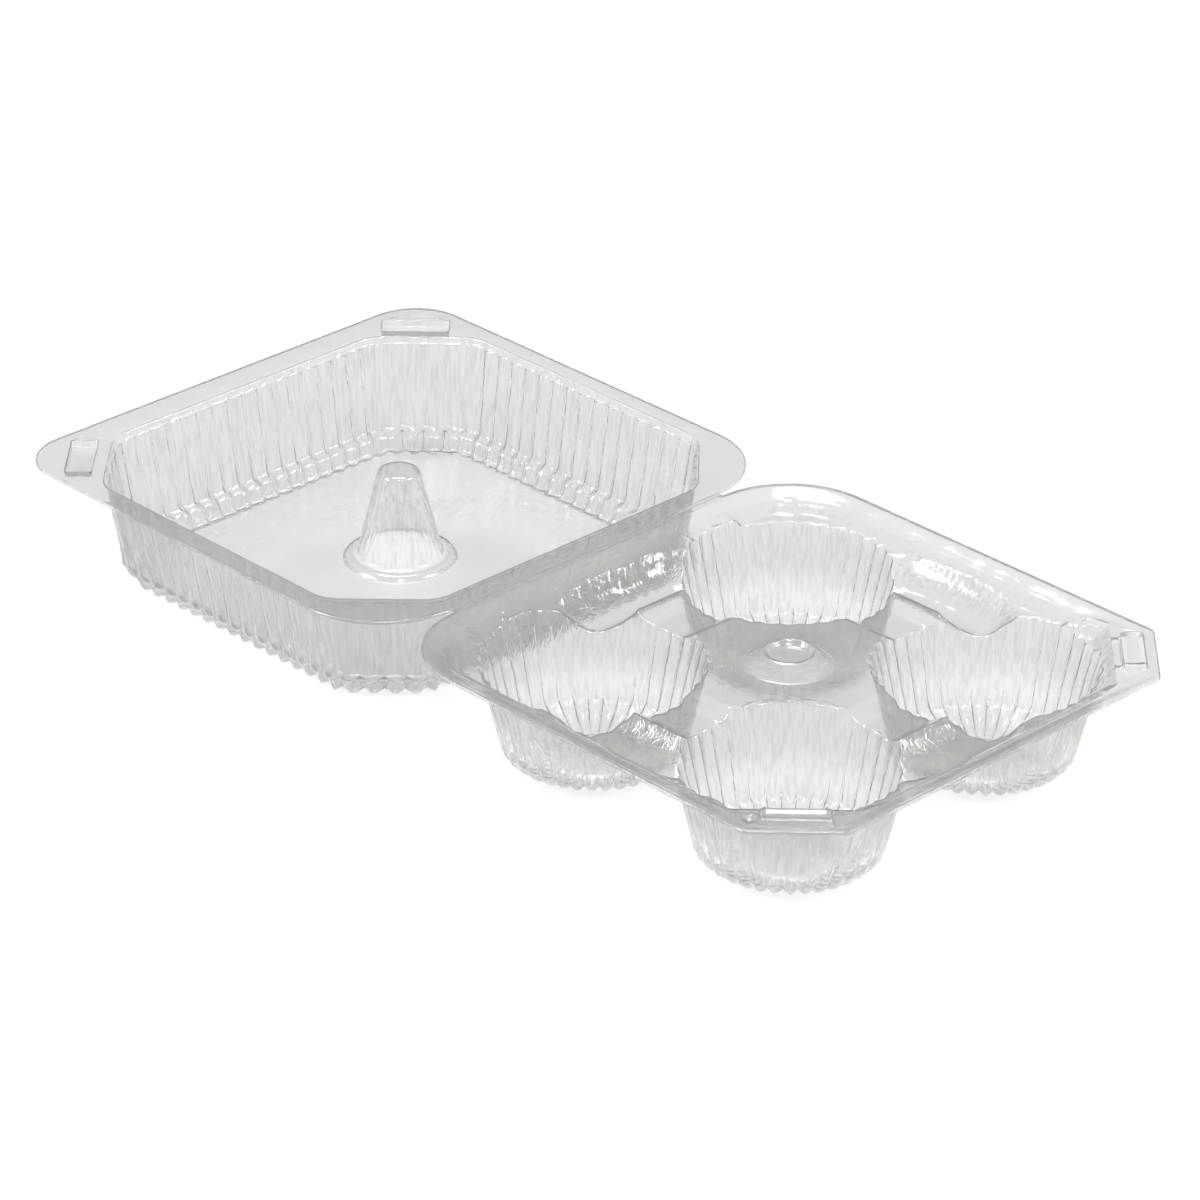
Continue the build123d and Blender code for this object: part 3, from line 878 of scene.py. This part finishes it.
TINTS = ("Rim Tint", "Deck Shade Tint", "Wall Shade Tint", "Foot Tint", "Centre Tint")
GROUP_INPUTS = (
    ("Wave Size", "Float"), ("Grain Size", "Float"), ("Smoothest", "Float"), ("Haziest", "Float"),
    *((name, "Color") for name in TINTS),
    ("Foot Low", "Float"), ("Foot High", "Float"), ("Slope Shade Share", "Float"),
    ("Centre", "Vector"), ("Centre Radius", "Float"),
)
GROUP_OUTPUTS = (("Roughness", "Float"), ("Height", "Float"), ("Tint", "Color"))
TINT_LEVELS = (  # heights between which each tint takes over from the one below it, in metres; the darker deck tint here is painted shade
    (0.031, 0.0355, "Deck Shade Tint"), (0.038, 0.0408, "Rim Tint"), (0.0427, 0.0436, "Centre Tint"),
)
LINE_STRETCH = (1.0, 1.0, 0.045)  # draw lines run up and down the walls
LINE_DARK, LINE_HEIGHT, GRAIN_HEIGHT = 0.13, 0.12, 0.06


def moulded_sheet_group():
    """Shared finish of a formed sheet: slow waves, fine mould texture, draw lines and a hazy bloom.

    The tint is painted shade by height: darker on the deck and walls, where the pack's shadow on the floor
    shows through, and lighter at the foot. On the lid, slopes take the darker wall tint too.
    """
    group = bpy.data.node_groups.get("moulded sheet")
    if group:
        return group
    group = bpy.data.node_groups.new("moulded sheet", "ShaderNodeTree")
    for sockets, side in ((GROUP_INPUTS, "INPUT"), (GROUP_OUTPUTS, "OUTPUT")):
        for name, kind in sockets:
            group.interface.new_socket(name=name, in_out=side, socket_type="NodeSocket" + kind)
    given = group.nodes.new("NodeGroupInput").outputs
    result = group.nodes.new("NodeGroupOutput").inputs
    coordinates = group.nodes.new("ShaderNodeTexCoord").outputs
    place = coordinates["Object"]

    bloom = noise(group, place, maths(group, "MULTIPLY", given["Wave Size"], 0.35), 3.0, 0.55)
    feed(result["Roughness"], eased(group, bloom, 0.42, 0.68, given["Smoothest"], given["Haziest"]))

    facing = node(group, "ShaderNodeSeparateXYZ")
    feed(facing.inputs[0], coordinates["Normal"])
    upright = eased(group, maths(group, "ABSOLUTE", facing.outputs["Z"]), 0.97, 0.7)
    drawn = maths(group, "MULTIPLY", place, LINE_STRETCH, kind="ShaderNodeVectorMath")
    streaks = eased(group, noise(group, drawn, 900.0, 2.0, 0.6), 0.42, 0.66)
    lines = maths(group, "MULTIPLY", streaks, upright)

    waves = noise(group, place, given["Wave Size"], 1.5, 0.4)
    grain = noise(group, place, given["Grain Size"], 2.0, 0.6)
    fine = maths(group, "MULTIPLY", grain, GRAIN_HEIGHT)
    texture = maths(group, "MULTIPLY_ADD", lines, LINE_HEIGHT, fine)
    feed(result["Height"], maths(group, "ADD", waves, texture))

    # Painted shade: the tints chosen by height and by slope below stand in for the pack's shadow on the floor
    # seen through the sheet.
    split = node(group, "ShaderNodeSeparateXYZ")
    feed(split.inputs[0], place)
    height = split.outputs["Z"]
    above_foot = eased(group, height, given["Foot Low"], given["Foot High"])
    # Painted shade on slopes: upright faces take the darker wall tint, as far as the slope share says.
    slope_shade = maths(group, "MULTIPLY", upright, given["Slope Shade Share"])
    walls = maths(group, "MAXIMUM", above_foot, slope_shade)
    colour = mixed(group, walls, given["Foot Tint"], given["Wall Shade Tint"])
    for low, high, name in TINT_LEVELS:
        colour = mixed(group, eased(group, height, low, high), colour, given[name])
    plan = maths(group, "MULTIPLY", place, (1.0, 1.0, 0.0), kind="ShaderNodeVectorMath")
    away = maths(group, "DISTANCE", plan, given["Centre"], kind="ShaderNodeVectorMath")
    centre = eased(group, maths(group, "SUBTRACT", away, given["Centre Radius"]), 0.0006, -0.0012)
    colour = mixed(group, centre, colour, given["Centre Tint"])
    feed(result["Tint"], mixed(group, maths(group, "MULTIPLY", lines, LINE_DARK), colour, (0, 0, 0, 1)))
    return group


SHEET_IOR = 1.56
SHEET_CLEAR = 0.93  # the rest is a milky share
GRAIN_SIZE = 1100.0
BUMP_STRENGTH, BUMP_DEPTH = 0.5, 0.0006
TRAY_WAVES, LID_WAVES, CREASE_WAVES = 90.0, 75.0, 300.0
TRAY_FOOT = (0.011, 0.024, 0.0)  # heights where the foot's tint ends and the painted shade of the darker wall tint begins, and how far slopes take that painted shade
LID_FOOT = (0.0045, 0.006, 1.0)
CREASE_FOOT = (0.012, 0.026, 0.0)


def clear_plastic(name, tints, finish, wave_size, foot, centre=(0, 0), radius=0.0):
    """Clear glossy sheet: lamps shine through it, and its finish varies over the surface.

    Tints are the colours of light through rim, deck, wall, foot and the thin centre piece, which
    lies within the radius of the centre; the darker deck and wall tints are painted shade.
    """
    material = bpy.data.materials.new(name)
    material.use_nodes = True
    tree = material.node_tree
    tree.nodes.clear()
    link = tree.links.new
    output = tree.nodes.new("ShaderNodeOutputMaterial")
    shader = node(tree, "ShaderNodeBsdfPrincipled", Transmission_Weight=SHEET_CLEAR, IOR=SHEET_IOR)
    made = node(tree, "ShaderNodeGroup", node_tree=moulded_sheet_group())
    values = {
        "Wave Size": wave_size, "Grain Size": GRAIN_SIZE,
        "Smoothest": finish.smooth, "Haziest": finish.hazy,
        "Foot Low": foot[0], "Foot High": foot[1], "Slope Shade Share": foot[2],
        "Centre": (*centre, 0), "Centre Radius": radius,
        **{socket: (*tint, 1) for socket, tint in zip(TINTS, tints)},
    }
    for socket, value in values.items():
        made.inputs[socket].default_value = value
    link(made.outputs["Roughness"], shader.inputs["Roughness"])
    link(made.outputs["Tint"], shader.inputs["Base Color"])
    bumps = node(tree, "ShaderNodeBump", Strength=BUMP_STRENGTH, Distance=BUMP_DEPTH)
    link(made.outputs["Height"], bumps.inputs["Height"])
    link(bumps.outputs["Normal"], shader.inputs["Normal"])
    passed = node(tree, "ShaderNodeBsdfTransparent", Color=(*finish.shadow_tint, 1))
    path = tree.nodes.new("ShaderNodeLightPath")
    lamps = maths(tree, "MAXIMUM", path.outputs["Is Shadow Ray"], path.outputs["Is Diffuse Ray"])
    mix = tree.nodes.new("ShaderNodeMixShader")
    for socket, value in zip(mix.inputs, (lamps, shader.outputs[0], passed.outputs[0])):
        link(value, socket)
    link(mix.outputs[0], output.inputs["Surface"])
    return material


def floor_finish(colour):
    """Pale matt floor with a faint unevenness."""
    material = bpy.data.materials.new("pale floor")
    material.use_nodes = True
    tree = material.node_tree
    shader = tree.nodes["Principled BSDF"]
    shader.inputs["Roughness"].default_value = 0.9
    shader.inputs["Specular IOR Level"].default_value = 0.0
    place = tree.nodes.new("ShaderNodeTexCoord").outputs["Object"]
    paler = [min(1, c * 1.01) for c in colour]
    patches = noise(tree, place, 2.0, 2.0, 0.5)
    feed(shader.inputs["Base Color"], mixed(tree, patches, (*colour, 1), (*paler, 1)))
    return material


# ---------------------------------------------------------------- the pieces

def tray_place(p):
    """From the tray's own millimetres, with its front at +Y, to the shared frame in metres."""
    return (p[0] * MM, (-HINGE_GAP - p[1]) * MM, (RIM_Z + p[2]) * MM)


def lid_place(p):
    """The same for the lid, whose front is at +Y in the shared frame too."""
    return (p[0] * MM, (HINGE_GAP + p[1]) * MM, (RIM_Z + p[2]) * MM)


def crease_place(p):
    return (p[0] * MM, p[1] * MM, (RIM_Z + p[2]) * MM)


def tray_tints(finish):
    return finish.rim_tint, finish.deck_shade_tint, finish.wall_shade_tint, finish.foot_tint, finish.centre_tint


def lid_tints(finish):
    return finish.rim_tint, finish.wall_shade_tint, finish.wall_shade_tint, finish.foot_tint, finish.centre_tint


class PACK_OT_tray(bpy.types.Operator):
    """Form the tray: rim, step, latch buttons, deck, troughs, boss and four fluted cups"""
    bl_idname = "pack.tray"
    bl_label = "Formed tray"

    def execute(self, context):
        finish = context.scene.pack_finish
        sizes = context.scene.pack_sizes
        middle_of_boss = tray_place((0, TRAY_MID, 0))[:2]
        material = clear_plastic("clear_tray_sheet", tray_tints(finish), finish, TRAY_WAVES, TRAY_FOOT,
                                 middle_of_boss, BOSS_PROFILE[0][0] * MM)
        tray = draw_tray(sizes).build("base_tray", sizes.sheet, tray_place, material)
        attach(tray, "base")
        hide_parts(*TRAY_NODES)
        return {"FINISHED"}


class PACK_OT_lid(bpy.types.Operator):
    """Form the lid: rim, latch recesses, fluted wall, feet, roof and conical post"""
    bl_idname = "pack.lid"
    bl_label = "Formed lid"

    def execute(self, context):
        finish = context.scene.pack_finish
        sizes = context.scene.pack_sizes
        middle_of_post = lid_place((0, POST_MID, 0))[:2]
        material = clear_plastic("clear_lid_sheet", lid_tints(finish), finish, LID_WAVES, LID_FOOT,
                                 middle_of_post, POST_RING_R * MM)
        lid = draw_lid(sizes).build("lid_shell", sizes.sheet, lid_place, material)
        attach(lid, "lid")
        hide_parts(*LID_NODES)
        return {"FINISHED"}


CREASE_SAG = 0.28
CREASE_BEAD, BEAD_HALF = 0.16, 0.3  # height and half width of the bead along the middle


class PACK_OT_crease(bpy.types.Operator):
    """Join the two halves with the thin crease between them"""
    bl_idname = "pack.crease"
    bl_label = "Hinge crease"

    def execute(self, context):
        finish = context.scene.pack_finish
        sizes = context.scene.pack_sizes
        sheet = Sheet()
        rows = []
        for k in range(13):
            across = -HINGE_GAP + 2 * HINGE_GAP * k / 12
            sag = CREASE_Z - CREASE_SAG * (1 - (across / HINGE_GAP) ** 2)
            bead = CREASE_BEAD * max(0.0, 1 - abs(across) / BEAD_HALF)
            rows.append([(x, across, sag + bead) for x in spread(-HINGE_END, HINGE_END, 2.0)])
        sheet.strip(rows, closed=False)
        tints = [finish.crease_tint] * len(TINTS)
        material = clear_plastic("clear_crease_film", tints, finish, CREASE_WAVES, CREASE_FOOT)
        crease = sheet.build("hinge_crease", sizes.film, crease_place, material)
        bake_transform(crease)
        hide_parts("hinge_film")
        return {"FINISHED"}


# ---------------------------------------------------------------- floor, lamps and camera

SOFTBOXES = (  # name, place and side in metres, and power in watts; each one faces the origin
    ("overhead softbox", (0.7, 1.1, 3.2), 1.4, 50),
    ("left softbox", (-3.1, 1.7, 2.4), 1.2, 110),
    ("right softbox", (1.7, -3.1, 2.4), 1.2, 110),
    ("front softbox", (-1.8, -2.2, 3.4), 1.2, 66),
)
FLOOR_REACH, FLOOR_DROP = 14.0, -0.0004
CAMERA_TURN, CAMERA_RISE = radians(-43.63), radians(27.72)
CAMERA_TARGET = Vector((-0.0219, -0.0283, 0.042))
CAMERA_DISTANCE, CAMERA_LENS = 1.794, 163.3


def lay_floor(scene, colour):
    mesh = bpy.data.meshes.new("floor")
    signs = ((-1, -1), (1, -1), (1, 1), (-1, 1))
    corners = [(x * FLOOR_REACH, y * FLOOR_REACH, FLOOR_DROP) for x, y in signs]
    mesh.from_pydata(corners, [], [(0, 1, 2, 3)])
    mesh.materials.append(floor_finish(colour))
    floor = bpy.data.objects.new("floor", mesh)
    scene.collection.objects.link(floor)


def hang_softbox(scene, name, place, side, watts):
    lamp = bpy.data.lights.new(name, "AREA")
    lamp.shape = "RECTANGLE"
    lamp.size = lamp.size_y = side
    lamp.energy = watts
    obj = bpy.data.objects.new(name, lamp)
    obj.location = place
    obj.rotation_euler = (-Vector(place)).to_track_quat("-Z", "Y").to_euler()
    scene.collection.objects.link(obj)


def studio_room(strength):
    """Room that is brighter overhead than at the floor."""
    world = bpy.data.worlds.new("studio room")
    world.use_nodes = True
    tree = world.node_tree
    ground = tree.nodes["Background"]
    ground.inputs["Strength"].default_value = strength
    place = tree.nodes.new("ShaderNodeTexCoord")
    split = tree.nodes.new("ShaderNodeSeparateXYZ")
    ramp = tree.nodes.new("ShaderNodeValToRGB")
    for element, position, grey in zip(ramp.color_ramp.elements, (0.35, 0.95), (0.3, 1.0)):
        element.position = position
        element.color = (grey, grey, grey, 1)
    tree.links.new(place.outputs["Generated"], split.inputs[0])
    tree.links.new(split.outputs["Z"], ramp.inputs[0])
    tree.links.new(ramp.outputs[0], ground.inputs["Color"])
    return world


def place_camera(scene):
    """Long lens, looking down on the open pack from the tray's right-hand corner."""
    turn, rise = CAMERA_TURN, CAMERA_RISE
    back = Vector((sin(turn) * cos(rise), -cos(turn) * cos(rise), sin(rise)))
    lens = bpy.data.cameras.new("camera")
    lens.sensor_width = 36
    lens.lens = CAMERA_LENS
    lens.clip_end = 100
    camera = bpy.data.objects.new("camera", lens)
    camera.location = CAMERA_TARGET + back * CAMERA_DISTANCE
    camera.rotation_euler = back.to_track_quat("Z", "Y").to_euler()
    scene.collection.objects.link(camera)
    scene.camera = camera


class PACK_OT_stage(bpy.types.Operator):
    """Lay the floor, hang the softboxes and set up the camera"""
    bl_idname = "pack.stage"
    bl_label = "Floor, lamps and camera"

    def execute(self, context):
        scene = context.scene
        look = scene.studio_look
        lay_floor(scene, look.floor_colour)
        for name, place, side, watts in SOFTBOXES:
            hang_softbox(scene, name, place, side, watts * look.lamp_power)
        scene.world = studio_room(look.sky)
        scene.view_settings.view_transform = "Standard"
        scene.view_settings.look = "None"
        scene.cycles.max_bounces = 40
        scene.cycles.transmission_bounces = 40
        scene.cycles.glossy_bounces = 12
        scene.cycles.transparent_max_bounces = 64
        place_camera(scene)
        return {"FINISHED"}


class PACK_PT_sidebar(bpy.types.Panel):
    """Sizes, finishes and pieces of the pack"""
    bl_label = "Cake pack"
    bl_space_type = "VIEW_3D"
    bl_region_type = "UI"
    bl_category = "Cake pack"

    def draw(self, context):
        for group in (context.scene.pack_sizes, context.scene.pack_finish, context.scene.studio_look):
            for key in group.__annotations__:
                self.layout.prop(group, key)
        for operator in OPERATORS:
            self.layout.operator(operator.bl_idname)


OPERATORS = (PACK_OT_tray, PACK_OT_lid, PACK_OT_crease, PACK_OT_stage)
CLASSES = (PackSizes, PackFinish, StudioLook, *OPERATORS, PACK_PT_sidebar)


def register():
    for item in CLASSES:
        bpy.utils.register_class(item)
    bpy.types.Scene.pack_sizes = bpy.props.PointerProperty(type=PackSizes)
    bpy.types.Scene.pack_finish = bpy.props.PointerProperty(type=PackFinish)
    bpy.types.Scene.studio_look = bpy.props.PointerProperty(type=StudioLook)


def unregister():
    del bpy.types.Scene.studio_look
    del bpy.types.Scene.pack_finish
    del bpy.types.Scene.pack_sizes
    for item in reversed(CLASSES):
        bpy.utils.unregister_class(item)


def main():
    register()
    bpy.ops.pack.stage()
    bpy.ops.pack.tray()
    bpy.ops.pack.lid()
    bpy.ops.pack.crease()


if __name__ == "__main__":
    main()
